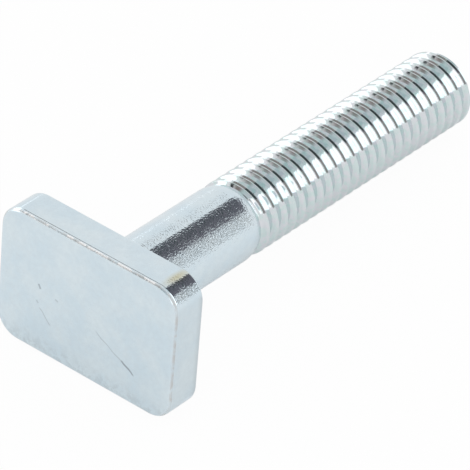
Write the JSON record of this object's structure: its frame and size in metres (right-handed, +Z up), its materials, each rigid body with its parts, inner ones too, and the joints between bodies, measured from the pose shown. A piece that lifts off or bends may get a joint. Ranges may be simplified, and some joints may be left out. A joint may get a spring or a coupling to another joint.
{
  "type": "t slot bolt",
  "caption": "T slot bolt: a flat rectangular head with rounded corners, a plain full-size shank and a rolled right-hand thread, bright zinc plated.",
  "frame": {"origin": "on the table, under the middle of the bolt's length as it lies at rest", "axes": "+X from the head towards the thread's end, level; +Y along the head's long side; +Z up, with the bolt lying on one long side of its head and on the end of its thread"},
  "size_m": [0.04, 0.0156, 0.0109],
  "materials": {
    "zinc_plated_steel": "bright blue-white zinc plating, satin on the head and shank, glossy on the rolled thread"
  },
  "bodies": {
    "root": {"t_slot_bolt": "zinc_plated_steel"}
  },
  "joints": []
}
